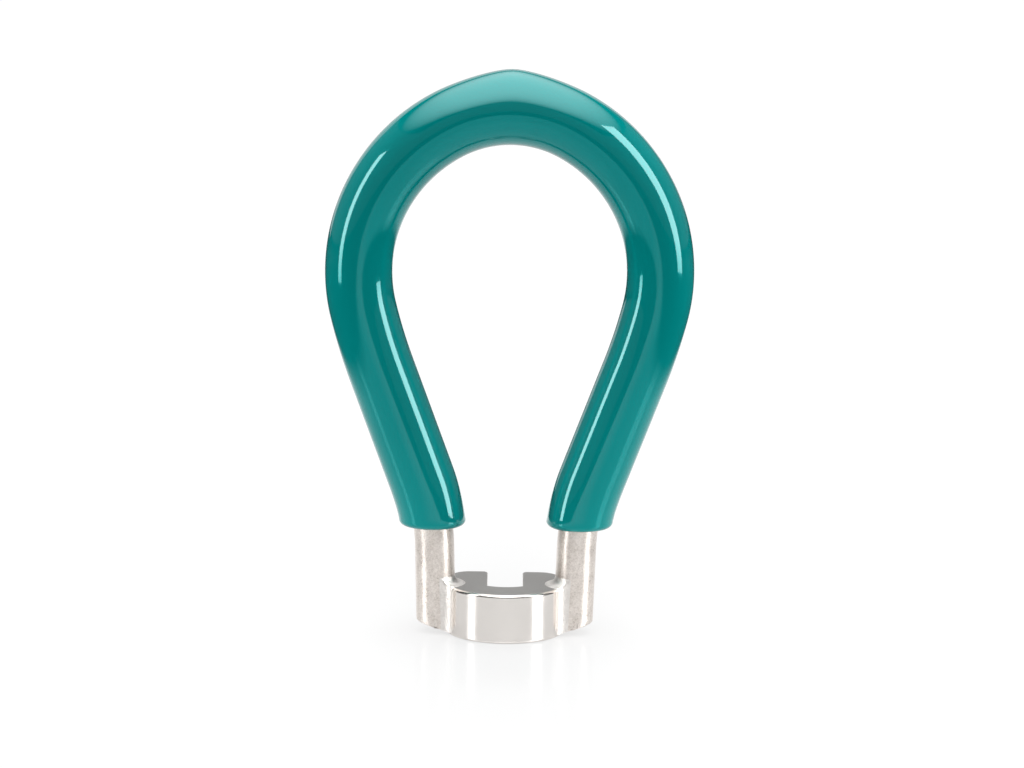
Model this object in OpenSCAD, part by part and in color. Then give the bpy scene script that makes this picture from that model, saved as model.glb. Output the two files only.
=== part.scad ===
// Spoke wrench for one size of nipple: a hardened steel head with an open slot,
// brazed between the two ends of one bent steel rod, and a dipped vinyl skin
// over the rod's loop, which is the handle.
// It stands on its head. Z is up, the loop lies in the XZ plane, the middle of
// the seated nipple is on the Z axis, and the slot's mouth faces +Y.

/* [Head] */
// Width of the slot, which is the width across the nipple's flats
slot_w = 3.3; // [2.9:0.05:4]
// Outer diameter of the head
head_d = 10.9; // [10.2:0.1:12]
// Height of the head, along the spoke
head_h = 4.65; // [3.6:0.05:5.6]
// Width over the two jaws at the slot's mouth
jaws_w = 10.3; // [9.4:0.1:10.8]
// Radius of each jaw's outer corner
jaw_corner_r = 1.9; // [0.8:0.1:2.4]
// Radius of each jaw's inner corner, the lead-in of the slot
mouth_r = 0.9; // [0.3:0.05:1.2]
// Radius of the slot's hollow floor
floor_r = 2.9; // [2.3:0.1:6]
// Rounding of the head's top edge
top_edge = 0.3; // [0.1:0.05:0.6]
// Bevel of the head's bottom edge
bottom_edge = 0.25; // [0.1:0.05:0.6]

/* [Rod] */
// Diameter of the steel rod
rod_d = 3.7; // [3.2:0.05:4.2]
// Distance between the two legs' centres, at half the head's height
legs_w = 13; // [12.4:0.1:13.8]
// Lean of each leg, outwards and up from the head, in degrees
leg_splay = 1.7; // [0:0.1:4]
// Height of the leg's sloping end above the table, at the leg's centre
foot_z = 0.62; // [0.5:0.02:1.2]
// Slope of the leg's end, rising outwards, in degrees
foot_slope = 15.5; // [0:0.5:20]
// Height above the head's top at which the lines of a leg and its limb cross
elbow_rise = 6.85; // [5.6:0.05:9]
// Bend radius at the crown
crown_r = 12.3; // [9:0.1:15]
// Bend at the crown on each side of the middle, in degrees
crown_turn = 28.4; // [15:0.2:45]
// Bend radius of the loop's sides
side_r = 15.7; // [14:0.1:17]
// How far the side bend runs on below the loop's widest place, in degrees
side_turn = 14; // [8:0.5:18]
// Radius of the slack bend between a side and its straight limb
flank_r = 50; // [30:1:70]
// Lean of the straight limbs, in degrees
limb_lean = 20.7; // [19:0.1:24]
// Bend radius where a limb turns down into its leg
bend_r = 20; // [10:0.5:24]

/* [Braze] */
// Radius of the hollow fillets up the valleys between a leg and the head
valley_r = 1.2; // [0.6:0.05:1.6]
// Height and reach of the fillet round a leg's root on the head's top face
toe_r = 0.85; // [0.4:0.05:1.1]

/* [Grip] */
// Diameter of the vinyl skin on the limbs and sides
grip_d = 6.3; // [5.2:0.05:7.2]
// Bare height of the legs, from the head's top to the skin's level lower ends
leg_bare = 5.55; // [4.4:0.05:7.5]
// Rounding of the skin's lower ends
grip_end_r = 0.85; // [0.3:0.05:1.1]
// Extra thickness of the skin all round at the crown, where the dip drained
drain_t = 0.17; // [0:0.01:0.4]
// Extra height of the last drip, on the outer side of the crown
drip_t = 0.52; // [0:0.02:1]
// Reach of the drip to each side of the crown, in degrees of bend
drip_turn = 20; // [10:1:26]
// Room for the bond line between the rod and the skin
bond_gap = 0.03; // [0.02:0.01:0.08]

/* [Hidden] */
$fn = 64;

// How far a cutting shape runs on past the face that it cuts
overrun = head_h / 4;

// Head
head_r = head_d / 2;
slot_floor_y = -slot_w / 2;
jaw_corner_x = jaws_w / 2 - jaw_corner_r;
jaw_corner_y = head_r - jaw_corner_r;
// Where the head's round runs tangent into a jaw's corner, in degrees
jaw_tangent = atan2(jaw_corner_y, jaw_corner_x)
    - acos((head_r - jaw_corner_r) / norm([jaw_corner_x, jaw_corner_y]));
round_steps = 40;
corner_steps = 8;
edge_steps = 5;

// Rod
rod_r = rod_d / 2;
leg_x = legs_w / 2;

// Skin
grip_r = grip_d / 2;
grip_z = head_h + leg_bare;
ring_sides = 24;
bore_r = (rod_r + bond_gap) / cos(180 / ring_sides);
crown_rings = 7;
side_rings = 17;
flank_rings = 2;
limb_rings = 2;
bend_rings = 4;
end_rings = 3;

// A place on the rod's axis is [x, z, heading]. The axis starts at the crown
// with a heading of 0, which runs level to the right. 90 runs straight down.
function along(heading) = [cos(heading), -sin(heading)];
function outward(heading) = [sin(heading), cos(heading)];
function spot(p) = [p[0], p[1]];
function bend(p, r, heading) =
    let (q = spot(p) + r * (outward(heading) - outward(p[2])))
    [q[0], q[1], heading];
// The lines of the leg and the limb cross at the elbow. The limb's length is
// what brings the crown over the middle, and that sets the loop's height.
leg_turn = 90 + leg_splay;
limb_turn = 90 + limb_lean;
elbow_z = head_h + elbow_rise;
elbow = [leg_x + (elbow_z - head_h / 2) * tan(leg_splay), elbow_z];
crown_to_limb = crown_r * (outward(crown_turn) - outward(0))
    + side_r * (outward(90 + side_turn) - outward(crown_turn))
    + flank_r * (outward(limb_turn) - outward(90 + side_turn));
limb_len = (crown_to_limb[0] - elbow[0]) / sin(limb_lean);
crown_z = elbow_z + limb_len * cos(limb_lean) - crown_to_limb[1];

crown = [0, crown_z, 0];
crown_end = bend(crown, crown_r, crown_turn);
side_end = bend(crown_end, side_r, 90 + side_turn);
limb_top = bend(side_end, flank_r, limb_turn);

// The lower bend is laid into the elbow's corner.
elbow_cut = bend_r * tan((limb_lean - leg_splay) / 2);
limb_foot = concat(elbow - elbow_cut * along(limb_turn), [limb_turn]);
leg_top = concat(elbow + elbow_cut * along(leg_turn), [leg_turn]);

// The axis at a height below the limb's top: on the limb, the bend or the leg.
function bend_heading(z) = acos(cos(limb_foot[2]) + (limb_foot[1] - z) / bend_r);
function on_line(p, z) = [p[0] + (p[1] - z) / tan(p[2]), z, p[2]];
function axis_at(z) =
    z > limb_foot[1] ? on_line(limb_top, z)
    : z > leg_top[1] ? bend(limb_foot, -bend_r, bend_heading(z))
    : on_line(leg_top, z);

// Every swept shape is a row of rings with as many points each. These join them.
function joined(rings) = [for (r = rings) for (q = r) q];
function skin_faces(spans, count, sides) = [
    for (i = [0:spans - 1])
        for (k = [0:sides - 1])
            let (next = (i + 1) % count, turn = (k + 1) % sides)
            for (face = [
                [i * sides + k, i * sides + turn, next * sides + turn],
                [i * sides + k, next * sides + turn, next * sides + k]
            ])
                face
];
function cap(i, sides, last) = [
    for (k = [0:sides - 1])
        i * sides + (last ? sides - 1 - k : k)
];

// How much the skin is thicker at a heading: all round, and on the outer side.
function drained(heading) = drain_t * pow(max(0, cos(heading)), 2);
function dripped(heading) = drip_t * pow(max(0, 1 - abs(heading) / drip_turn), 2);

// One ring of points round the axis, at a place, facing along another heading.
function ring(p, facing, r, drip) = [
    for (k = [0:ring_sides - 1])
        let (a = 360 * k / ring_sides)
        let (out = (r + (cos(a) > 0 ? drip : 0)) * cos(a) * outward(facing))
        [p[0] + out[0], r * sin(a), p[1] + out[1]]
];
function steps(n) = [for (k = [1:n]) k / n];

// Places from the crown down the right side to the skin's lower end.
upper_places = concat(
    [for (t = steps(crown_rings)) bend(crown, crown_r, crown_turn * t)],
    [for (t = steps(side_rings)) bend(crown_end, side_r, crown_turn + (90 + side_turn - crown_turn) * t)],
    [for (t = steps(flank_rings)) bend(side_end, flank_r, 90 + side_turn + (limb_lean - side_turn) * t)]
);
bend_start = max(limb_foot[1], grip_z + 2 * grip_end_r);
straight_end = grip_z + grip_end_r;
lower_places = concat(
    [for (t = steps(limb_rings)) axis_at(limb_top[1] + (bend_start - limb_top[1]) * t)],
    [for (t = steps(bend_rings)) axis_at(bend_start + (straight_end - bend_start) * t)]
);
// The skin's end is level, so its last rings turn to face straight down.
function facing(p) =
    p[1] > bend_start ? p[2]
    : 90 + (p[2] - 90) * (p[1] - straight_end) / (bend_start - straight_end);

function skin_half(upper, r, end_round) = concat(
    upper,
    [for (p = lower_places) ring(p, facing(p), r, 0)],
    [for (t = steps(end_rings))
        let (p = axis_at(straight_end - grip_end_r * sin(90 * t)))
        ring(p, 90, r - end_round * (1 - cos(90 * t)), 0)]
);
function mirrored(rings) = [
    for (i = [len(rings) - 1:-1:0])
        [for (q = rings[i]) [-q[0], q[1], q[2]]]
];
function both_sides(right, middle) = concat(mirrored(right), [middle], right);
function backwards(rings) = [for (i = [len(rings) - 1:-1:0]) rings[i]];

// A leg's end slopes. Each line along the leg runs down to that slope.
function down_to_foot(q) =
    let (way = along(leg_turn), rise = tan(foot_slope))
    let (run = (q[2] - foot_z - (q[0] - leg_x) * rise) / (way[0] * rise - way[1]))
    [q[0] + run * way[0], q[1], q[2] + run * way[1]];

// The handle's core: one steel rod, bent into the loop, with both legs.
module rod_loop() {
    bend_top = limb_foot[1];
    bend_drop = bend_top - leg_top[1];
    places = concat(
        upper_places,
        [for (t = steps(limb_rings)) axis_at(limb_top[1] + (bend_top - limb_top[1]) * t)],
        [for (t = steps(bend_rings)) axis_at(bend_top - bend_drop * t)]
    );
    half = [for (p = places) ring(p, p[2], rod_r, 0)];
    foot = [for (q = half[len(half) - 1]) down_to_foot(q)];
    loop = both_sides(concat(half, [foot]), ring(crown, 0, rod_r, 0));
    color("gainsboro")
        polyhedron(
            points = joined(loop),
            faces = concat(
                skin_faces(len(loop) - 1, len(loop), ring_sides),
                [cap(0, ring_sides, true), cap(len(loop) - 1, ring_sides, false)]
            )
        );
}

// The head's outline without its slot, drawn in from the edge.
function arc(centre, r, from, to, n) = [
    for (k = [0:n])
        let (a = from + (to - from) * k / n)
        centre + r * [cos(a), sin(a)]
];
function head_outline(inset) = concat(
    arc([0, 0], head_r - inset, 180 - jaw_tangent, 360 + jaw_tangent, round_steps),
    arc([jaw_corner_x, jaw_corner_y], jaw_corner_r - inset, jaw_tangent, 90, corner_steps),
    arc([-jaw_corner_x, jaw_corner_y], jaw_corner_r - inset, 90, 180 - jaw_tangent, corner_steps)
);
head_levels = concat(
    [[0, bottom_edge], [bottom_edge, 0]],
    [for (k = [0:edge_steps])
        let (a = 90 * k / edge_steps)
        [head_h - top_edge * (1 - sin(a)), top_edge * (1 - cos(a))]]
);

module head_blank() {
    outlines = [
        for (level = head_levels)
            [for (q = head_outline(level[1])) [q[0], q[1], level[0]]]
    ];
    sides = len(outlines[0]);
    polyhedron(
        points = joined(outlines),
        faces = concat(
            skin_faces(len(outlines) - 1, len(outlines), sides),
            [cap(0, sides, false), cap(len(outlines) - 1, sides, true)]
        )
    );
}

// The slot: two parallel flats, a hollow floor and a rounded mouth.
module slot_cut() {
    translate([0, 0, -overrun])
        linear_extrude(head_h + 2 * overrun) {
            intersection() {
                translate([-slot_w / 2, slot_floor_y])
                    square([slot_w, floor_r]);
                translate([0, slot_floor_y + floor_r])
                    circle(floor_r);
            }
            translate([-slot_w / 2, 0])
                square([slot_w, head_r + overrun]);
            difference() {
                translate([-slot_w / 2 - mouth_r, head_r - mouth_r])
                    square([slot_w + 2 * mouth_r, mouth_r + overrun]);
                for (side = [-1, 1])
                    translate([side * (slot_w / 2 + mouth_r), head_r - mouth_r])
                        circle(mouth_r);
            }
        }
}

// The round seat that a leg lies in, cut right through the head.
module leg_seat() {
    end = on_line(leg_top, -overrun);
    translate([end[0], 0, end[1]])
        rotate([0, leg_splay, 0])
            cylinder(r = rod_r, h = head_h + toe_r + 2 * overrun);
}

// The head: a short block that grips the nipple, with a seat for each leg.
module jaw_head() {
    color("silver")
        difference() {
            head_blank();
            slot_cut();
            leg_seat();
            mirror([1, 0, 0])
                leg_seat();
        }
}

// Centres of the hollow fillets at a leg's front and back. The front one
// touches the head's round, and the back one touches the jaw's side.
front_reach = head_r + valley_r;
leg_reach = rod_r + valley_r;
front_x = (leg_x * leg_x + front_reach * front_reach - leg_reach * leg_reach) / legs_w;
front_y = -sqrt(front_reach * front_reach - front_x * front_x);
back_x = jaws_w / 2 + valley_r;
back_y = sqrt(leg_reach * leg_reach - pow(back_x - leg_x, 2));
// The fillets bite a little past both faces, so that no feather edge is left.
bite_share = 1.04;
hollow_angles = [5:20:85];

module valley_plan() {
    difference() {
        union() {
            polygon([[0, 0], [leg_x, 0], [front_x, front_y]]);
            polygon([[0, 0], [0, back_y], [back_x, back_y], [leg_x, 0]]);
        }
        translate([front_x, front_y])
            circle(valley_r * bite_share);
        translate([back_x, back_y])
            circle(valley_r * bite_share);
    }
}

// The fillet round the leg's root, turned about the leg's own axis.
module toe() {
    root = on_line(leg_top, head_h);
    hollow = [
        for (a = hollow_angles)
            [rod_r + toe_r * (1 - sin(a)), toe_r * (1 - cos(a))]
    ];
    translate([root[0], 0, root[1]])
        rotate([0, leg_splay, 0])
            rotate_extrude()
                polygon(concat(
                    [[0, toe_r], [0, -top_edge], [rod_r + toe_r, -top_edge]],
                    hollow,
                    [[rod_r, toe_r]]
                ));
}

// The filler metal on one side: it fills both valleys and the leg's root.
module braze() {
    color("lightgray")
        difference() {
            union() {
                translate([0, 0, foot_z])
                    linear_extrude(head_h - top_edge / 2 - foot_z)
                        valley_plan();
                intersection() {
                    toe();
                    linear_extrude(head_h + 2 * toe_r)
                        union() {
                            circle(head_r - top_edge);
                            valley_plan();
                        }
                }
            }
            head_blank();
            leg_seat();
        }
}

module braze_right() {
    braze();
}

module braze_left() {
    mirror([1, 0, 0])
        braze();
}

// The skin: its outer rings from end to end, then the bore's rings back again.
module vinyl_grip() {
    outer_upper = [for (p = upper_places) ring(p, p[2], grip_r + drained(p[2]), dripped(p[2]))];
    bore_upper = [for (p = upper_places) ring(p, p[2], bore_r, 0)];
    outer = both_sides(skin_half(outer_upper, grip_r, grip_end_r), ring(crown, 0, grip_r + drain_t, drip_t));
    bore = both_sides(skin_half(bore_upper, bore_r, 0), ring(crown, 0, bore_r, 0));
    rings = concat(outer, backwards(bore));
    color("teal")
        polyhedron(
            points = joined(rings),
            faces = skin_faces(len(rings), len(rings), ring_sides)
        );
}

jaw_head();
rod_loop();
braze_left();
braze_right();
vinyl_grip();
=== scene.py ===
import math

import bmesh
import bpy
from mathutils import Matrix, Vector


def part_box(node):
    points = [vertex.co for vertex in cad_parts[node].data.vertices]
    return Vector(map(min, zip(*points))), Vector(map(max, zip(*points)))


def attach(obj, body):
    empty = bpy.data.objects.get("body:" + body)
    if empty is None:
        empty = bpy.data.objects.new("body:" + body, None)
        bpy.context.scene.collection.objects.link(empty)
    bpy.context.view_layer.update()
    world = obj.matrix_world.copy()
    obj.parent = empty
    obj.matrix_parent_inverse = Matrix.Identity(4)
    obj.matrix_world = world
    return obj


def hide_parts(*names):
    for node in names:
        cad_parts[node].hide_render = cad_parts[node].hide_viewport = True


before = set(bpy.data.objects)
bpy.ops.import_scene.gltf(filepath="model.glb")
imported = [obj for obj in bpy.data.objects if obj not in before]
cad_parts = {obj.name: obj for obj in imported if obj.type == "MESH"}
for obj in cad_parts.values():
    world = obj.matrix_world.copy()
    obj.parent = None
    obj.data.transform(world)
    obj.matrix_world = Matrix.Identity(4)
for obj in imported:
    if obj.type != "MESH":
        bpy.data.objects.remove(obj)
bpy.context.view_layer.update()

MM = 0.001

# Camera
# A long lens stands about half a metre in front of the wrench and looks down a
# little. The wrench stands on its head, and its slot faces away.
PHOTO_W = 1024
PHOTO_H = 768
FOCAL_PX = 5970
SENSOR_W = 36
HEAD_FOOT_PX_X = 504.2
HEAD_FOOT_PX_Y = 631.5
CAMERA_AWAY = 550 * MM
CAMERA_UP = 124.3 * MM
CAMERA_ROLL = math.radians(0.86)

foot_drop = HEAD_FOOT_PX_Y - PHOTO_H / 2
foot_left = PHOTO_W / 2 - HEAD_FOOT_PX_X - foot_drop * math.sin(CAMERA_ROLL)
camera_pitch = math.atan2(CAMERA_UP, CAMERA_AWAY) - math.atan2(foot_drop, FOCAL_PX)
camera_yaw = math.atan2(foot_left, FOCAL_PX)

camera_data = bpy.data.cameras.new("camera")
camera_data.sensor_width = SENSOR_W
camera_data.lens = FOCAL_PX / PHOTO_W * SENSOR_W
camera_data.clip_start = 10 * MM
camera = bpy.data.objects.new("camera", camera_data)
camera.matrix_world = (
    Matrix.Translation((0, -CAMERA_AWAY, CAMERA_UP))
    @ Matrix.Rotation(-camera_yaw, 4, "Z")
    @ Matrix.Rotation(math.radians(90) - camera_pitch, 4, "X")
    @ Matrix.Rotation(CAMERA_ROLL, 4, "Z")
)
bpy.context.scene.collection.objects.link(camera)
bpy.context.scene.camera = camera

# Steel rod
# One round rod is the handle's core and both legs. It is bent cold into the
# loop, and its legs stand in the head's seats with their ends cut on a slope.
ROD_D = 3.7 * MM
LEGS_W = 13 * MM
LEG_SPLAY = 1.7
FOOT_Z = 0.62 * MM
FOOT_SLOPE = 15.5
FOOT_EDGE = 0.12 * MM
ELBOW_RISE = 6.85 * MM
CROWN_R = 12.3 * MM
CROWN_TURN = 28.4
SIDE_R = 15.7 * MM
SIDE_TURN = 14
FLANK_R = 50 * MM
LIMB_LEAN = 20.7
BEND_R = 20 * MM
ROD_SIDES = 48
RING_GAP = 0.4 * MM
WELD_GAP = 0.002 * MM
TINY_GAP = 0.001 * MM
SHARP_TURN = 32

rod_r = ROD_D / 2
leg_x = LEGS_W / 2
leg_slant = math.tan(math.radians(LEG_SPLAY))
head_low, head_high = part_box("jaw_head")
HEAD_H = head_high.z - head_low.z
crown_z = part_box("rod_loop")[1].z - rod_r


def along(heading):
    """The way the rod runs. 0 is level at the crown, and 90 is straight down."""
    angle = math.radians(heading)
    return Vector((math.cos(angle), 0, -math.sin(angle)))


def outward(heading):
    """The way out of the loop, square to the rod."""
    angle = math.radians(heading)
    return Vector((math.sin(angle), 0, math.cos(angle)))


# The lines of a leg and its limb cross at the elbow, which sets the limb's length.
elbow_x = leg_x + (HEAD_H / 2 + ELBOW_RISE) * leg_slant
limb_top = (
    CROWN_R * (outward(CROWN_TURN) - outward(0))
    + SIDE_R * (outward(90 + SIDE_TURN) - outward(CROWN_TURN))
    + FLANK_R * (outward(90 + LIMB_LEAN) - outward(90 + SIDE_TURN))
)
elbow_cut = BEND_R * math.tan(math.radians(LIMB_LEAN - LEG_SPLAY) / 2)
limb_run = (limb_top.x - elbow_x) / math.sin(math.radians(LIMB_LEAN)) - elbow_cut


def verts_of(geometry):
    """The points among what an operator made."""
    return [g for g in geometry if isinstance(g, bmesh.types.BMVert)]


class Loop:
    """A tube drawn along the rod's line, from the crown down the right side."""

    def __init__(self, radius, sides, bm=None):
        self.bm = bm or bmesh.new()
        self.place = Vector((0, 0, crown_z))
        self.heading = 0
        upright = Matrix.Translation(self.place) @ Matrix.Rotation(math.radians(90), 4, "Y")
        self.ring = bmesh.ops.create_circle(
            self.bm, cap_ends=False, segments=sides, radius=radius, matrix=upright
        )["verts"]
        self.rings = [(self.place, 0, self.ring)]

    def ring_edges(self):
        """The last ring's own edges, in order."""
        touching = dict.fromkeys(e for v in self.ring for e in v.link_edges)
        return [e for e in touching if all(v in self.ring for v in e.verts)]

    def turn(self, radius, degrees):
        """Bends on round a centre inside the loop, or outside it for a negative turn."""
        sign = 1 if degrees > 0 else -1
        centre = self.place - sign * radius * outward(self.heading)
        steps = max(2, math.ceil(radius * math.radians(abs(degrees)) / RING_GAP))
        for _ in range(steps):
            spun = bmesh.ops.spin(
                self.bm, geom=self.ring + self.ring_edges(), cent=centre, axis=(0, 1, 0),
                angle=math.radians(degrees / steps), steps=1, use_duplicate=False,
            )
            self.ring = verts_of(spun["geom_last"])
            self.heading += degrees / steps
            self.place = centre + sign * radius * outward(self.heading)
            self.rings.append((self.place, self.heading, self.ring))

    def drawn_out(self):
        """Draws a new ring out of the last one, still in the same place."""
        made = bmesh.ops.extrude_edge_only(self.bm, edges=self.ring_edges())["geom"]
        self.ring = verts_of(made)

    def run(self, length):
        """Runs straight on."""
        steps = max(1, math.ceil(length / RING_GAP / 2))
        for _ in range(steps):
            self.drawn_out()
            step = along(self.heading) * length / steps
            bmesh.ops.translate(self.bm, verts=self.ring, vec=step)
            self.place = self.place + step
            self.rings.append((self.place, self.heading, self.ring))

    def down_to_leg(self):
        """Goes round the loop and down the limb, to where the straight leg starts."""
        self.turn(CROWN_R, CROWN_TURN)
        self.turn(SIDE_R, 90 + SIDE_TURN - CROWN_TURN)
        self.turn(FLANK_R, LIMB_LEAN - SIDE_TURN)
        self.run(limb_run)
        self.turn(BEND_R, LEG_SPLAY - LIMB_LEAN)


def cut_foot(bm):
    """Cuts away what lies below the right leg's sloping end."""
    slope = math.radians(FOOT_SLOPE)
    bmesh.ops.bisect_plane(
        bm, geom=bm.verts[:] + bm.edges[:] + bm.faces[:], dist=TINY_GAP,
        plane_co=(leg_x, 0, FOOT_Z), plane_no=(math.sin(slope), 0, -math.cos(slope)),
        clear_outer=True,
    )


def both_halves(bm):
    """Mirrors the right half, joins the halves and turns all faces outwards."""
    bmesh.ops.mirror(
        bm, geom=bm.verts[:] + bm.edges[:] + bm.faces[:],
        matrix=Matrix.Identity(4), merge_dist=WELD_GAP, axis="X",
    )
    bmesh.ops.recalc_face_normals(bm, faces=bm.faces[:])


def soften(bm, edges, width, segments):
    """Rounds edges over."""
    bmesh.ops.bevel(
        bm, geom=edges, offset=width, segments=segments,
        profile=0.5, material=-1, affect="EDGES",
    )


def as_object(bm, name):
    """Makes an object of a bmesh and puts it in the scene."""
    mesh = bpy.data.meshes.new(name)
    bm.to_mesh(mesh)
    bm.free()
    thing = bpy.data.objects.new(name, mesh)
    bpy.context.scene.collection.objects.link(thing)
    return thing


def shaded(piece):
    """Shades a piece smooth, apart from its sharp edges."""
    piece.data.shade_smooth()
    piece.data.set_sharp_from_angle(angle=math.radians(SHARP_TURN))
    return piece


def as_piece(bm, name, body="root"):
    """Makes a shaded piece of a bmesh and lets it ride on a body."""
    piece = shaded(as_object(bm, name))
    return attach(piece, body)


rod = Loop(rod_r, ROD_SIDES)
rod.down_to_leg()
rod.run(rod.place.z - head_low.z)
cut_foot(rod.bm)
foot_rim = [e for e in rod.bm.edges if e.is_boundary and e.verts[0].co.x > leg_x / 2]
bmesh.ops.holes_fill(rod.bm, edges=foot_rim)
both_halves(rod.bm)
foot_rims = [e for e in rod.bm.edges if any(len(f.verts) > 4 for f in e.link_faces)]
soften(rod.bm, foot_rims, FOOT_EDGE, 3)
rod_piece = as_piece(rod.bm, "steel_rod")
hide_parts("rod_loop")


class Value:
    """What one socket gives over a surface, to be summed in plain Python."""

    def __init__(self, nodes, socket):
        self.nodes = nodes
        self.socket = socket

    def maths(self, operation, first, second):
        return self.nodes.node("ShaderNodeMath", {"operation": operation}, {0: first, 1: second})

    def __add__(self, other):
        return self.maths("ADD", self, other)

    def __radd__(self, other):
        return self.maths("ADD", other, self)

    def __sub__(self, other):
        return self.maths("SUBTRACT", self, other)

    def __rsub__(self, other):
        return self.maths("SUBTRACT", other, self)

    def __mul__(self, other):
        return self.maths("MULTIPLY", self, other)

    def __rmul__(self, other):
        return self.maths("MULTIPLY", other, self)

    def __truediv__(self, other):
        return self.maths("DIVIDE", self, other)

    def __rtruediv__(self, other):
        return self.maths("DIVIDE", other, self)

    def stronger(self, gain):
        """Moves a value that keeps near a half further away from it."""
        return 0.5 + gain * (self - 0.5)


class Nodes:
    """A node tree, and the one way to add a node to it."""

    def __init__(self, tree):
        self.tree = tree

    def feed(self, socket, value):
        """Links a value to a socket, or sets the socket to a constant."""
        if isinstance(value, Value):
            self.tree.links.new(value.socket, socket)
        else:
            socket.default_value = value

    def node(self, kind, settings, inputs, output=0):
        """Adds a node: its settings first, then the value or link of each socket."""
        node = self.tree.nodes.new(kind)
        for name, value in settings.items():
            setattr(node, name, value)
        for name, value in inputs.items():
            self.feed(node.inputs[name], value)
        return Value(self, node.outputs[output])

    def blend(self, share, first, second):
        """One surface where the share is 0, and the other where it is 1."""
        return self.node("ShaderNodeMixShader", {}, {0: share, 1: first, 2: second})

    def show(self, shader, output):
        """Puts a shader on the surface."""
        self.feed(self.tree.nodes[output].inputs["Surface"], shader)


class Finish(Nodes):
    """A material with a Principled shader."""

    def __init__(self, name, **constants):
        self.material = bpy.data.materials.new(name)
        self.material.use_nodes = True
        super().__init__(self.material.node_tree)
        self.shader = self.tree.nodes["Principled BSDF"]
        self.set(**constants)

    def set(self, **values):
        """Feeds the shader's sockets, which are named with _ for each space."""
        for socket, value in values.items():
            self.feed(self.shader.inputs[socket.replace("_", " ")], value)

    def noise(self, size, detail=2, rough=0.5, stretch=(1, 1, 1)):
        """Soft patches of a size in metres, between 0 and 1, fixed to the piece."""
        place = self.node("ShaderNodeTexCoord", {}, {}, "Object")
        placed = self.node("ShaderNodeMapping", {}, {"Vector": place, "Scale": stretch})
        return self.node(
            "ShaderNodeTexNoise", {},
            {"Vector": placed, "Scale": 1 / size, "Detail": detail, "Roughness": rough}, "Fac",
        )

    def between(self, share, low, high):
        """A colour between two, by a share. Mix has its colours at 6 and 7, and out of 2."""
        return self.node(
            "ShaderNodeMix", {"data_type": "RGBA"}, {0: share, 6: (*low, 1), 7: (*high, 1)}, 2
        )

    def bump(self, height, depth):
        """Relief of a depth in metres."""
        relief = {"Height": height, "Distance": depth, "Strength": 1}
        return self.node("ShaderNodeBump", {}, relief, "Normal")


# The rod is nickel plated over a blasted surface, so it is mottled and warm grey.
rod_nickel = Finish("rod_nickel", Metallic=1)
cloud = rod_nickel.noise(0.9 * MM, detail=4, rough=0.6, stretch=(1, 1, 0.6))
grain = rod_nickel.noise(0.16 * MM, detail=3, rough=0.6)
mottle = (cloud * 0.45 + grain * 0.55).stronger(2.8)
rod_nickel.set(
    Base_Color=rod_nickel.between(mottle, (0.58, 0.52, 0.47), (0.94, 0.88, 0.83)),
    Roughness=0.24 + 0.2 * mottle,
    Normal=rod_nickel.bump(grain * 0.7 + cloud * 0.3, 0.012 * MM),
)
rod_piece.data.materials.append(rod_nickel.material)

# Head
# A short block of hardened steel with an open slot for the nipple. It is turned
# round, its slot is broached, and its top face is ground and left dull.
HEAD_R = 5.45 * MM
SLOT_W = 3.3 * MM
JAWS_W = 10.3 * MM
JAW_CORNER_R = 1.9 * MM
MOUTH_R = 0.9 * MM
FLOOR_R = 2.9 * MM
TOP_EDGE = 0.3 * MM
BOTTOM_EDGE = 0.25 * MM
SLOT_EDGE = 0.06 * MM
SEAT_GAP = 0.004 * MM
PIN_BELOW = MM
PIN_ABOVE = 2 * MM
HEAD_STEPS = 64
JAW_STEPS = 20
SLOT_STEPS = 14
ROUND_STEPS = 96
SAME_LEVEL = 0.01 * MM
SHARP_RIM = 1

jaw_x = JAWS_W / 2 - JAW_CORNER_R
jaw_y = HEAD_R - JAW_CORNER_R
jaw_tangent = math.degrees(
    math.atan2(jaw_y, jaw_x) - math.acos((HEAD_R - JAW_CORNER_R) / math.hypot(jaw_x, jaw_y))
)
mouth_x = SLOT_W / 2 + MOUTH_R
floor_y = FLOOR_R - SLOT_W / 2
floor_corner = math.degrees(math.asin(SLOT_W / 2 / FLOOR_R))


class Outline:
    """A pen that draws a flat outline from point to point and round arcs."""

    def __init__(self, start):
        self.bm = bmesh.new()
        self.tip = bmesh.ops.create_vert(self.bm, co=(*start, 0))["vert"][0]

    def arc(self, centre, degrees, steps):
        spun = bmesh.ops.spin(
            self.bm, geom=[self.tip], cent=(*centre, 0), axis=(0, 0, 1),
            angle=math.radians(degrees), steps=steps, use_duplicate=False,
        )
        self.tip = verts_of(spun["geom_last"])[0]

    def line(self, end):
        made = bmesh.ops.extrude_vert_indiv(self.bm, verts=[self.tip])
        self.tip = made["verts"][0]
        self.tip.co = (*end, 0)


def raised(bm, outline, height):
    """Fills an outline and pulls the face up into a solid."""
    floor_face = bmesh.ops.contextual_create(bm, geom=outline)["faces"]
    risen = bmesh.ops.extrude_face_region(bm, geom=floor_face)["geom"]
    bmesh.ops.translate(bm, verts=verts_of(risen), vec=(0, 0, height))


def filled_up(bm, low, high):
    """Mirrors an open half outline, fills it and gives it a height."""
    both_halves(bm)
    bmesh.ops.translate(bm, verts=bm.verts[:], vec=(0, 0, low))
    raised(bm, bm.edges[:], high - low)
    bmesh.ops.recalc_face_normals(bm, faces=bm.faces[:])


def rims(bm, height):
    """The edges that lie level at a height."""
    return [e for e in bm.edges if all(abs(v.co.z - height) < SAME_LEVEL for v in e.verts)]


def of_slot(edge):
    """Tells the slot's sharp rim from the rest, by its place and its angle in radians."""
    inside = all(v.co.y > -FLOOR_R and abs(v.co.x) < mouth_x for v in edge.verts)
    return inside and (not edge.is_contiguous or edge.calc_face_angle() > SHARP_RIM)


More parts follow.
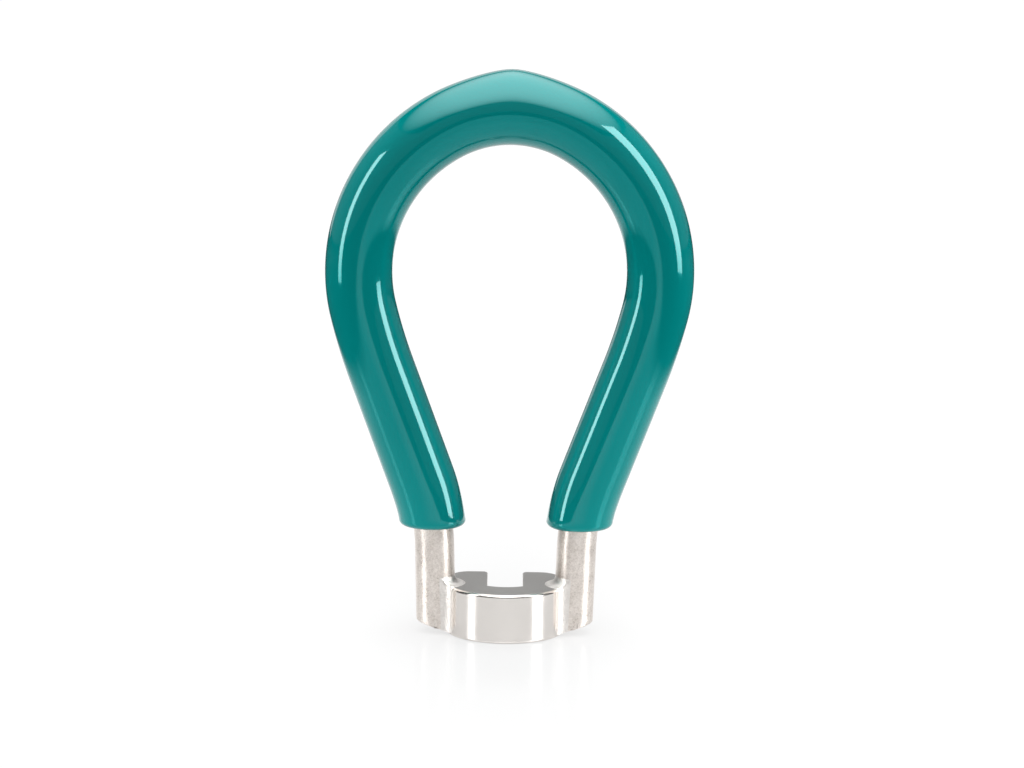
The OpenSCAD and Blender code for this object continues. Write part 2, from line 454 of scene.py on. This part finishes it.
head = Outline((0, -HEAD_R))
head.arc((0, 0), 90 + jaw_tangent, HEAD_STEPS)
tangent = math.radians(jaw_tangent)
head.line((jaw_x + JAW_CORNER_R * math.cos(tangent), jaw_y + JAW_CORNER_R * math.sin(tangent)))
head.arc((jaw_x, jaw_y), 90 - jaw_tangent, JAW_STEPS)
head.line((0, HEAD_R))
filled_up(head.bm, 0, HEAD_H)
for height, width in ((HEAD_H, TOP_EDGE), (0, BOTTOM_EDGE)):
    soften(head.bm, rims(head.bm, height), width, 6)

broach = Outline((0, floor_y - FLOOR_R))
broach.arc((0, floor_y), floor_corner, SLOT_STEPS)
broach.line((SLOT_W / 2, HEAD_R - MOUTH_R))
broach.arc((mouth_x, HEAD_R - MOUTH_R), -90, SLOT_STEPS)
broach.line((mouth_x, HEAD_R + MM))
broach.line((0, HEAD_R + MM))
filled_up(broach.bm, -MM, HEAD_H + MM)


def as_tool(bm, name):
    """Makes a passing solid that other solids are joined to or cut with."""
    bmesh.ops.recalc_face_normals(bm, faces=bm.faces[:])
    return as_object(bm, name)


def leg_pins(name, radius):
    """Both legs' stretch through the head, to cut seats with."""
    bm = bmesh.new()
    low = -PIN_BELOW
    high = HEAD_H + PIN_ABOVE
    middle = (low + high) / 2
    centre = Matrix.Translation((leg_x + (middle - HEAD_H / 2) * leg_slant, 0, middle))
    bmesh.ops.create_cone(
        bm, cap_ends=True, segments=ROUND_STEPS, radius1=radius, radius2=radius,
        depth=high - low, matrix=centre @ Matrix.Rotation(math.radians(LEG_SPLAY), 4, "Y"),
    )
    both_halves(bm)
    return as_object(bm, name)


def boolean(operation, other):
    """A modifier that adds, cuts or clips with another shape."""
    return "BOOLEAN", {"operation": operation, "object": other, "solver": "EXACT"}


def finished(piece, *modifiers):
    """Makes modifiers part of a piece's mesh. Each is a type and its settings."""
    for kind, settings in modifiers:
        modifier = piece.modifiers.new(kind.lower(), kind)
        for name, value in settings.items():
            setattr(modifier, name, value)
    bpy.context.view_layer.update()
    graph = bpy.context.evaluated_depsgraph_get()
    mesh = bpy.data.meshes.new_from_object(piece.evaluated_get(graph), depsgraph=graph)
    piece.modifiers.clear()
    piece.data = mesh
    return piece


head_piece = as_piece(head.bm, "steel_head")
slot_tool = as_tool(broach.bm, "slot_tool")
finished(head_piece, boolean("DIFFERENCE", slot_tool))
bpy.data.objects.remove(slot_tool)
bm = bmesh.new()
bm.from_mesh(head_piece.data)
for height in (HEAD_H, 0):
    soften(bm, [e for e in rims(bm, height) if of_slot(e)], SLOT_EDGE, 3)
bm.to_mesh(head_piece.data)
bm.free()

# A copy without the legs' seats is kept, because the braze is smoothed over it.
block = head_piece.copy()
block.data = head_piece.data.copy()
bpy.context.scene.collection.objects.link(block)
pins = leg_pins("leg_pins", rod_r + SEAT_GAP)
shaded(finished(head_piece, boolean("DIFFERENCE", pins)))
weighted = head_piece.modifiers.new("weighted", "WEIGHTED_NORMAL")
weighted.keep_sharp = True
weighted.weight = 100
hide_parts("jaw_head")

# The plated round is bright, with a faint cloudiness and fine turning lines.
head_nickel = Finish("head_nickel", Metallic=1)
cloud = head_nickel.noise(1.6 * MM, detail=3, rough=0.55)
lines = head_nickel.noise(0.5 * MM, rough=0.6, stretch=(0.15, 0.15, 12))
speck = head_nickel.noise(0.12 * MM, rough=0.6)
head_nickel.set(
    Base_Color=head_nickel.between(cloud, (0.70, 0.665, 0.635), (0.80, 0.765, 0.735)),
    Roughness=0.13 + 0.09 * cloud + 0.04 * lines,
    Normal=head_nickel.bump(lines * 0.4 + speck * 0.6, 0.002 * MM),
)
head_piece.data.materials.append(head_nickel.material)

# The ground face is dull and darker.
FACES_UP = 0.999
ground_face = Finish("ground_face", Metallic=1)
cloud = ground_face.noise(0.8 * MM, detail=3, rough=0.6)
scratch = ground_face.noise(0.3 * MM, detail=3, rough=0.6, stretch=(1, 9, 1))
wear = cloud * 0.5 + scratch * 0.5
ground_face.set(
    Base_Color=ground_face.between(wear, (0.303, 0.295, 0.287), (0.394, 0.384, 0.373)),
    Roughness=0.42 + 0.16 * cloud,
    Normal=ground_face.bump(scratch, 0.006 * MM),
)
head_piece.data.materials.append(ground_face.material)
for face in head_piece.data.polygons:
    on_top = face.normal.z > FACES_UP and face.center.z > HEAD_H / 2
    face.material_index = 1 if on_top else 0

# Braze
# Filler metal lies in the valleys between the legs and the head, and round each
# leg's root on the head's top face. It was drawn in molten, and plated over.
VALLEY_R = 1.2 * MM
TOE_R = 0.85 * MM
BRAZE_CELL = 0.055 * MM
SMOOTH_PASSES = 16
CORE_SHARE = 0.5
SINK = 0.008 * MM
SKIRT_RIM = 0.02 * MM
SKIRT_TURN = 84
SKIRT_STEPS = 16
TABLE_GAP = 0.02 * MM
WIDE_VALLEY_R = VALLEY_R + 0.25 * MM
WIDE_TOE_R = rod_r + TOE_R + 0.1 * MM
TOE_BELOW = 0.2 * MM
TOE_ABOVE = 2 * MM
TOE_INSET = 0.1 * MM
TOE_ROOM = 1.3

root_x = leg_x + HEAD_H / 2 * leg_slant
toe_high = HEAD_H + TOE_ROOM * TOE_R


def valley_centres(radius):
    """Where a bar stands that touches the leg and the head, in front and behind."""
    front_reach = HEAD_R + radius
    leg_reach = rod_r + radius
    front_x = (leg_x**2 + front_reach**2 - leg_reach**2) / LEGS_W
    back_x = JAWS_W / 2 + radius
    return (
        Vector((front_x, -math.sqrt(front_reach**2 - front_x**2))),
        Vector((back_x, math.sqrt(leg_reach**2 - (back_x - leg_x) ** 2))),
    )


def prism(name, corners, low, high):
    """A solid on a plan with a few corners."""
    bm = bmesh.new()
    verts = [bmesh.ops.create_vert(bm, co=(*corner, low))["vert"][0] for corner in corners]
    raised(bm, verts, high - low)
    return as_tool(bm, name)


def upright_bar(name, centre, radius, low, high):
    bm = bmesh.new()
    bmesh.ops.create_cone(
        bm, cap_ends=True, segments=ROUND_STEPS, radius1=radius, radius2=radius,
        depth=high - low, matrix=Matrix.Translation((*centre, (low + high) / 2)),
    )
    return as_tool(bm, name)


def leg_skirt(name):
    """The hollow cone round the leg's root, turned about the leg's axis."""
    bm = bmesh.new()
    bottom = -TOP_EDGE
    pen = bmesh.ops.create_vert(bm, co=(0, 0, bottom))["vert"][0]
    for corner in ((rod_r + TOE_R, 0, bottom), (rod_r + TOE_R, 0, SKIRT_RIM)):
        pen = bmesh.ops.extrude_vert_indiv(bm, verts=[pen])["verts"][0]
        pen.co = corner
    spun = bmesh.ops.spin(
        bm, geom=[pen], cent=(rod_r + TOE_R, 0, TOE_R), axis=(0, 1, 0),
        angle=math.radians(SKIRT_TURN), steps=SKIRT_STEPS, use_duplicate=False,
    )
    pen = verts_of(spun["geom_last"])[0]
    pen = bmesh.ops.extrude_vert_indiv(bm, verts=[pen])["verts"][0]
    pen.co = (0, 0, pen.co.z)
    bmesh.ops.spin(
        bm, geom=bm.verts[:] + bm.edges[:], cent=(0, 0, 0), axis=(0, 0, 1),
        angle=math.radians(360), steps=ROUND_STEPS, use_merge=True, use_duplicate=False,
    )
    bmesh.ops.remove_doubles(bm, verts=bm.verts[:], dist=TINY_GAP)
    bmesh.ops.dissolve_degenerate(bm, edges=bm.edges[:], dist=TINY_GAP)
    root = Matrix.Translation((root_x, 0, HEAD_H))
    lean = Matrix.Rotation(math.radians(LEG_SPLAY), 4, "Y")
    bmesh.ops.transform(bm, verts=bm.verts[:], matrix=root @ lean)
    return as_tool(bm, name)


def join_up(piece, *steps):
    """Adds, cuts or clips with other shapes in turn, and throws the shapes away."""
    for operation, other in steps:
        finished(piece, boolean(operation, other))
        bpy.data.objects.remove(other)
    return piece


def valley_plan(name, radius, low, high):
    """Both valleys' plan, from the head's core out to the bars' centres."""
    front, back = valley_centres(radius)
    core = CORE_SHARE * front.x
    return join_up(
        prism(name, [CORE_SHARE * front, (core, 0), (leg_x, 0), front], low, high),
        ("UNION", prism("back", [(core, 0), (leg_x, 0), back, (core, back.y)], low, high)),
    )


def valley_walls(name, low, high):
    """Both valleys' fillets. Each is hollowed by a bar that touches the leg and the head."""
    front, back = valley_centres(VALLEY_R)
    reach = (low - MM, high + MM)
    return join_up(
        valley_plan(name, VALLEY_R, low, high),
        ("DIFFERENCE", upright_bar("front_bar", front, VALLEY_R, *reach)),
        ("DIFFERENCE", upright_bar("back_bar", back, VALLEY_R, *reach)),
    )


# The metal flowed over head and leg alike, so the fillets are smoothed with both of
# them in place, and the parts' own space is taken out afterwards. The voxels are
# counted in millimetres.
toe_room = upright_bar("toe_room", (0, 0), HEAD_R - TOP_EDGE, HEAD_H / 2, toe_high)
join_up(toe_room, ("UNION", valley_walls("tall_walls", HEAD_H / 2, toe_high)))
skirt = join_up(leg_skirt("skirt"), ("INTERSECT", toe_room))
walls = valley_walls("walls", -MM, HEAD_H - TOP_EDGE / 2)
bm = bmesh.new()
for part in (walls, skirt, block, leg_pins("core_pins", rod_r)):
    bm.from_mesh(part.data)
    bpy.data.objects.remove(part)
flow = as_tool(bm, "flow")
flow.data.transform(Matrix.Scale(1 / MM, 4))
finished(
    flow,
    ("REMESH", {"mode": "VOXEL", "voxel_size": BRAZE_CELL / MM}),
    ("SMOOTH", {"factor": 0.5, "iterations": SMOOTH_PASSES}),
)
flow.data.transform(Matrix.Scale(MM, 4))
bm = bmesh.new()
bm.from_mesh(flow.data)
bm.normal_update()
for v in bm.verts:
    v.co -= v.normal * SINK
cut_foot(bm)
bmesh.ops.holes_fill(bm, edges=[e for e in bm.edges if e.is_boundary])
bm.to_mesh(flow.data)
bm.free()
over_head = upright_bar(
    "over_head", (0, 0), HEAD_R - TOE_INSET, HEAD_H / 2, HEAD_H + TOE_ABOVE
)
near_toe = join_up(
    upright_bar("near_toe", (root_x, 0), WIDE_TOE_R, HEAD_H - TOE_BELOW, toe_high),
    ("INTERSECT", over_head),
)
room = join_up(
    valley_plan("valley_room", WIDE_VALLEY_R, TABLE_GAP, toe_high), ("UNION", near_toe)
)
braze = join_up(flow, ("INTERSECT", room), ("DIFFERENCE", pins))
finished(braze, boolean("DIFFERENCE", head_piece))

braze_nickel = Finish("braze_nickel", Metallic=1)
cloud = braze_nickel.noise(0.7 * MM, detail=4, rough=0.6)
grain = braze_nickel.noise(0.2 * MM, detail=3, rough=0.6)
mottle = (cloud * 0.5 + grain * 0.5).stronger(1.6)
braze_nickel.set(
    Base_Color=braze_nickel.between(mottle, (0.72, 0.68, 0.64), (0.96, 0.93, 0.90)),
    Roughness=0.27 + 0.18 * mottle,
    Normal=braze_nickel.bump(grain * 0.5 + cloud * 0.5, 0.11 * MM),
)

# Clearing the materials also puts every face back in the first slot.
for side, name in ((1, "right"), (-1, "left")):
    bm = bmesh.new()
    bm.from_mesh(braze.data)
    bmesh.ops.scale(bm, vec=(side, 1, 1), verts=bm.verts[:])
    bmesh.ops.remove_doubles(bm, verts=bm.verts[:], dist=TINY_GAP / 2)
    bmesh.ops.recalc_face_normals(bm, faces=bm.faces[:])
    fillet = as_piece(bm, f"braze_fillet_{name}")
    fillet.data.materials.clear()
    fillet.data.materials.append(braze_nickel.material)
    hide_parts(f"braze_{name}")
bpy.data.objects.remove(braze)

# Vinyl skin
# The bent rod was warmed and dipped upside down in liquid vinyl. The skin drained
# thicker towards the crown and left its last drip there.
GRIP_D = 6.3 * MM
GRIP_SIDES = 64
BORE_GAP = 0.03 * MM
END_R = 0.6 * MM
LIP_R = 0.15 * MM
END_STEPS = 8
LEVEL_REACH = 3 * MM
DRAIN_T = 0.17 * MM
DRIP_T = 0.44 * MM
DRIP_TURN = 20
TIP_TURN = 4

grip_r = GRIP_D / 2
bore_r = rod_r + BORE_GAP
grip_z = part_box("vinyl_grip")[0].z


class Skin(Loop):
    """A tube along the rod's line that ends level and not square."""

    def level_out(self, end_z):
        """Drops the rings below a height and turns the last ones to face straight down."""
        while self.rings[-1][0].z < end_z + RING_GAP / 4:
            bmesh.ops.delete(self.bm, geom=self.rings.pop()[2], context="VERTS")
        for place, heading, verts in self.rings:
            share = (place.z - end_z) / LEVEL_REACH
            if share < 1 and heading > 90:
                back = Matrix.Rotation(math.radians((90 - heading) * (1 - share)), 3, "Y")
                bmesh.ops.rotate(self.bm, cent=place, matrix=back, verts=verts)
        self.place, self.heading, self.ring = self.rings[-1]
        self.drawn_out()
        drop = self.place.z - end_z
        down = along(self.heading)
        self.place = self.place - down * (drop / down.z)
        for v in self.ring:
            v.co += self.place - self.rings[-1][0]
            v.co.z = end_z

    def round_off(self, radius, edge_r, sign):
        """Rounds the tube's end over a quarter turn: inwards for 1, and outwards for -1."""
        reach = radius
        for k in range(1, END_STEPS + 1):
            turn = math.radians(90 * k / END_STEPS)
            self.drawn_out()
            step = edge_r * (math.sin(turn) - math.sin(turn - math.radians(90 / END_STEPS)))
            bmesh.ops.translate(self.bm, verts=self.ring, vec=(0, 0, -step))
            wanted = radius - sign * edge_r * (1 - math.cos(turn))
            share = wanted / reach
            middle = Matrix.Translation(-self.place)
            bmesh.ops.scale(self.bm, vec=(share, share, 1), space=middle, verts=self.ring)
            reach = wanted


skin = Skin(grip_r, GRIP_SIDES)
skin.down_to_leg()
for place, heading, verts in skin.rings:
    drained = DRAIN_T * max(0, math.cos(math.radians(heading))) ** 2
    blunt = math.hypot(heading, TIP_TURN) - TIP_TURN
    dripped = DRIP_T * max(0, 1 - blunt / DRIP_TURN) ** 2
    for v in verts:
        out = (v.co - place) / grip_r
        v.co += out * drained + outward(heading) * max(0, out.dot(outward(heading))) * dripped
skin.level_out(grip_z + END_R)
skin.round_off(grip_r, END_R, 1)
bore = Skin(bore_r, GRIP_SIDES, skin.bm)
bore.down_to_leg()
bore.level_out(grip_z + LIP_R)
bore.round_off(bore_r, LIP_R, -1)
bmesh.ops.bridge_loops(skin.bm, edges=skin.ring_edges() + bore.ring_edges())
both_halves(skin.bm)
grip = as_piece(skin.bm, "vinyl_skin")
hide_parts("vinyl_grip")

# The skin's clear gloss is full where it faces up a little, and slight underneath.
teal_vinyl = Finish(
    "teal_vinyl", Metallic=0, IOR=1.6, Coat_Roughness=0.02, Coat_IOR=1.53,
    Specular_Tint=(0.05, 1, 1, 1),
)
facing = teal_vinyl.node("ShaderNodeTexCoord", {}, {}, "Normal")
upward = teal_vinyl.node("ShaderNodeSeparateXYZ", {}, {0: facing}, "Z")
gloss = teal_vinyl.node("ShaderNodeMapRange", {}, {
    "Value": upward, "From Min": -0.04, "From Max": 0.12, "To Min": 0.15, "To Max": 1,
})
drift = teal_vinyl.noise(9 * MM)
flow_marks = teal_vinyl.noise(2.4 * MM, rough=0.45)
teal_vinyl.set(
    Base_Color=teal_vinyl.between(drift, (0, 0.172, 0.168), (0, 0.2, 0.196)),
    Coat_Weight=gloss,
    Roughness=0.05 + 0.05 * flow_marks,
    Normal=teal_vinyl.bump(flow_marks, 0.008 * MM),
)
grip.data.materials.append(teal_vinyl.material)

# Table
# A white satin table. The camera sees it run on for ever, and it turns pure white
# away from the wrench. Reflections see a white oval round the wrench, longer to
# the front and back. Beyond the oval the table is painted near black for all but
# the camera: a painted dark room in reflections, and no bounce light from there.
# Within the oval the table glows for diffuse rays, a painted light on the wrench from below.
TABLE_SIZE = 6
OVAL_R = 180 * MM
OVAL_SQUEEZE = (3.1, 0.69, 0)
OVAL_FADE = 40 * MM
FAR_WHITE = 52 * MM
GLOW_SHARE = 0.5
# Strength of the table's painted glow, which lights the wrench from below.
GLOW_FROM_BELOW = 2.4
WHITE = (1, 1, 1, 1)
NEAR_BLACK = (0.02, 0.02, 0.02, 1)

bm = bmesh.new()
bmesh.ops.create_grid(bm, x_segments=1, y_segments=1, size=TABLE_SIZE / 2)
table = as_object(bm, "table")

white_top = Finish("white_top", Roughness=0.14, Specular_IOR_Level=0.04)
shade = white_top.noise(400 * MM, detail=1)
white_top.set(
    Base_Color=white_top.between(shade, (0.442, 0.442, 0.442), (0.461, 0.461, 0.461))
)
seen = white_top.node("ShaderNodeLightPath", {}, {}, "Is Camera Ray")
shiny = white_top.node("ShaderNodeLightPath", {}, {}, "Is Glossy Ray")
spread = white_top.node("ShaderNodeLightPath", {}, {}, "Is Diffuse Ray")
place = white_top.node("ShaderNodeTexCoord", {}, {}, "Object")
placed = white_top.node("ShaderNodeMapping", {}, {"Vector": place, "Scale": OVAL_SQUEEZE})
distance = white_top.node("ShaderNodeVectorMath", {"operation": "LENGTH"}, {0: placed}, "Value")
near = (OVAL_R - distance) / OVAL_FADE + 0.5
shown = white_top.node("ShaderNodeMath", {"operation": "MAXIMUM"}, {0: seen, 1: near})
lit = Value(white_top, white_top.shader.outputs[0])
glow = white_top.node("ShaderNodeEmission", {}, {"Color": WHITE, "Strength": 1})
# The table glows for diffuse rays and lights the wrench from below. This is painted light,
# because the table is no lamp.
glow_from_below = white_top.node("ShaderNodeEmission", {}, {"Color": WHITE, "Strength": GLOW_FROM_BELOW})
polish = white_top.node("ShaderNodeBsdfGlossy", {}, {"Color": WHITE, "Roughness": 0.05})
# Near black where the table stands in for the dark room: painted darkness in reflections and in
# bounce light.
dark = white_top.node("ShaderNodeBsdfDiffuse", {}, {"Color": NEAR_BLACK})
glance = white_top.node("ShaderNodeFresnel", {}, {"IOR": 2})
whiter = GLOW_SHARE + distance / FAR_WHITE * (1 - GLOW_SHARE)
top = white_top.blend(shiny * GLOW_SHARE + seen * whiter, lit, glow)
top = white_top.blend(spread * GLOW_SHARE, top, glow_from_below)
sheen = white_top.blend(shiny * glance, dark, polish)
top = white_top.node("ShaderNodeAddShader", {}, {0: top, 1: sheen})
white_top.show(white_top.blend(shown, dark, top), "Material Output")
table.data.materials.append(white_top.material)

# Studio
# A large oval soft box overhead gives the light, with a plain fill at each side.
# Two tall leaning cards and a wide one behind show only in reflections. The room
# is dim, and white to the camera.
ROOM_DIM = 0.12

world = bpy.data.worlds.new("room")
world.use_nodes = True
room_light = Nodes(world.node_tree)
seen = room_light.node("ShaderNodeLightPath", {}, {}, "Is Camera Ray")
dim = room_light.node("ShaderNodeBackground", {}, {"Color": WHITE, "Strength": ROOM_DIM})
pale = room_light.node("ShaderNodeBackground", {}, {"Color": WHITE, "Strength": 1})
room_light.show(room_light.blend(seen, dim, pale), "World Output")
bpy.context.scene.world = world


def light_card(name, bottom, top, width, radiance, lights=False, mirrored=True, oval=False):
    """A lit card between the middles of its lower and upper edge. An oval one fades outwards."""
    rise = Vector(top) - Vector(bottom)
    across = rise.cross((0, 0, 1)).normalized() * width
    facing = Matrix((across, rise, across.cross(rise))).transposed().to_4x4()
    bm = bmesh.new()
    bm.loops.layers.uv.new("UVMap")
    bmesh.ops.create_grid(
        bm, x_segments=1, y_segments=1, size=0.5, calc_uvs=True,
        matrix=Matrix.Translation(Vector(bottom) + rise / 2) @ facing,
    )
    card = as_object(bm, name)
    card.visible_camera = False
    card.visible_diffuse = lights
    card.visible_glossy = mirrored
    card.visible_shadow = False
    lit = Finish(name, Roughness=1, Specular_IOR_Level=0, Emission_Strength=radiance)
    place = lit.node("ShaderNodeTexCoord", {}, {}, "UV")
    centred = {"Vector": place, "Location": (-1, -1, 0), "Scale": (2, 2, 0)}
    placed = lit.node("ShaderNodeMapping", {}, centred)
    reach = lit.node("ShaderNodeVectorMath", {"operation": "LENGTH"}, {0: placed}, "Value")
    share = 1 - reach * reach if oval else 0.95 + 0.1 * lit.noise(300 * MM)
    lit.set(
        Base_Color=lit.between(share, (0.02, 0.02, 0.02), (0.03, 0.03, 0.03)),
        Emission_Color=lit.between(share, (0, 0, 0), (1, 1, 1)),
    )
    card.data.materials.append(lit.material)


light_card("overhead", (0, -1.65, 0.75), (0, 1.05, 0.75), 1.6, 3.2, lights=True, oval=True)
light_card("right_card", (0.238, -0.087, 0.003), (0.118, -0.068, 0.165), 0.075, 6)
light_card("left_card", (-0.15, -0.06, 0.003), (-0.14, -0.056, 0.125), 0.032, 6)
light_card("rear_card", (-0.1, 0.55, 0.003), (-0.095, 0.52, 0.36), 0.7, 0.6)
for side, name, radiance in ((1, "right_fill", 5.5), (-1, "left_fill", 4)):
    low_edge = (0.45 * side, 0.06, 0.003)
    high_edge = (0.42 * side, 0.05, 0.38)
    light_card(name, low_edge, high_edge, 0.5, radiance, lights=True, mirrored=False)

bpy.context.scene.view_settings.view_transform = "Standard"
